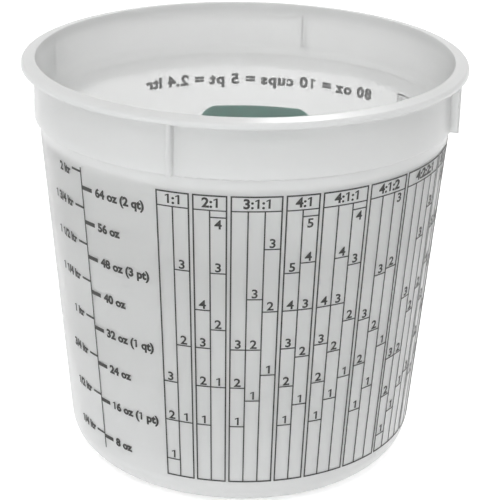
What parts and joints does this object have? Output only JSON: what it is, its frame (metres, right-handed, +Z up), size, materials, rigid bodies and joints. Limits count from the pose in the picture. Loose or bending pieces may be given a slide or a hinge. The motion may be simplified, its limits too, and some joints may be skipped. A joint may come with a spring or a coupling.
{
  "type": "resin mixing cup",
  "caption": "Tapered translucent mixing cup with a stepped ribbed collar, rolled lip, volume scale and ratio charts printed on its wall.",
  "frame": {"origin": "centre of the base, on the plane that the cup stands on", "axes": "+Z up the cup's axis towards the rim; the ratio charts face -Y and the volume scale faces -X and -Y"},
  "size_m": [0.167, 0.167, 0.1573],
  "materials": {
    "cup": "milky translucent polypropylene, soft sheen",
    "ink": "screen-printed dark ink",
    "green_ink": "screen-printed green ink"
  },
  "bodies": {
    "root": {"cup": "cup", "volume_scale": "ink", "chart_1_1": "ink", "chart_2_1": "ink", "chart_3_1_1": "ink", "chart_4_1": "ink", "chart_4_1_1": "ink", "chart_4_1_2": "ink", "chart_4_2_2_1": "ink", "chart_5_1": "ink", "chart_6_1": "ink", "chart_7_1": "ink", "chart_8_1": "ink", "chart_9_1": "ink", "chart_10_1": "ink", "green_panel": "green_ink"}
  },
  "joints": []
}
